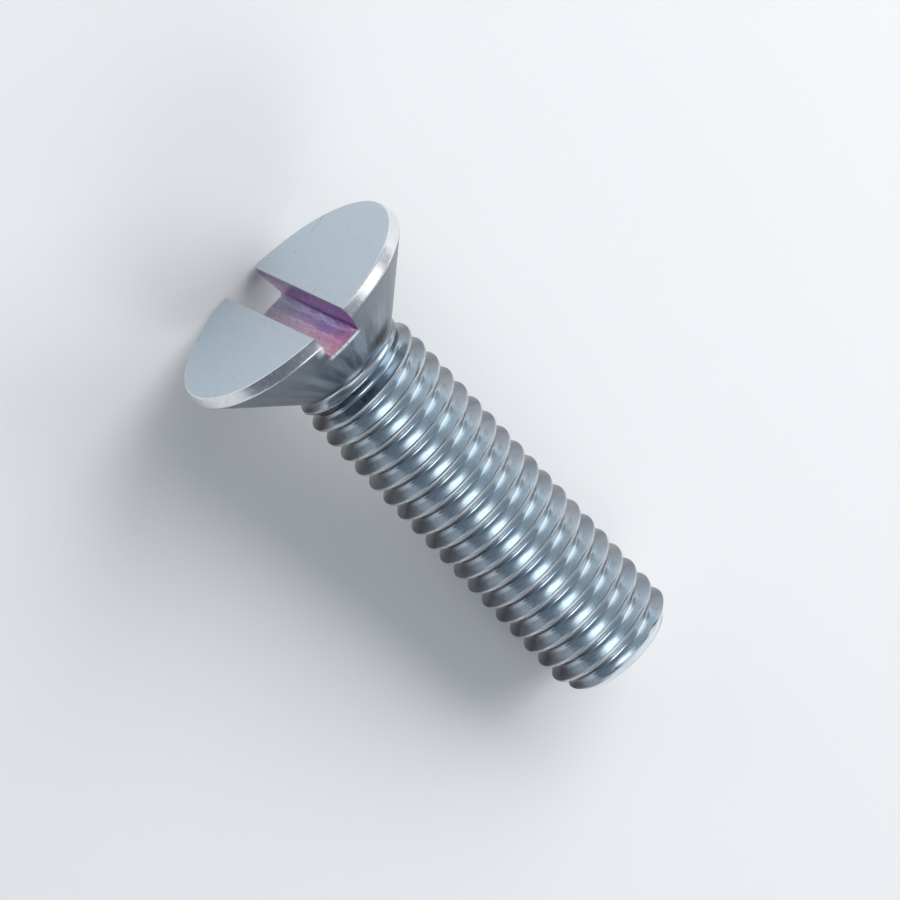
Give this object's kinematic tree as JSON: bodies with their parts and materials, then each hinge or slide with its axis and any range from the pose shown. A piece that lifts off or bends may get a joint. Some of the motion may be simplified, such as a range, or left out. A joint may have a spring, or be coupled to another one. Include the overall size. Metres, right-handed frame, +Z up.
{
  "type": "slotted countersunk machine screw",
  "caption": "Slotted countersunk machine screw with a flat face, a straight rim, a conical seat, and a rolled right-hand thread from the neck to the bevelled point.",
  "frame": {"origin": "middle of the screw's box, on the floor that the screw lies on", "axes": "+X along the screw from head to point, which dips 7.8 degrees, +Y across it, +Z up"},
  "size_m": [0.0308, 0.0156, 0.0155],
  "materials": {
    "zinc_plate": "zinc plate with a clear blue passivation, glossy on the rolled thread and satin on the head"
  },
  "bodies": {
    "root": {"screw": "zinc_plate"}
  },
  "joints": []
}
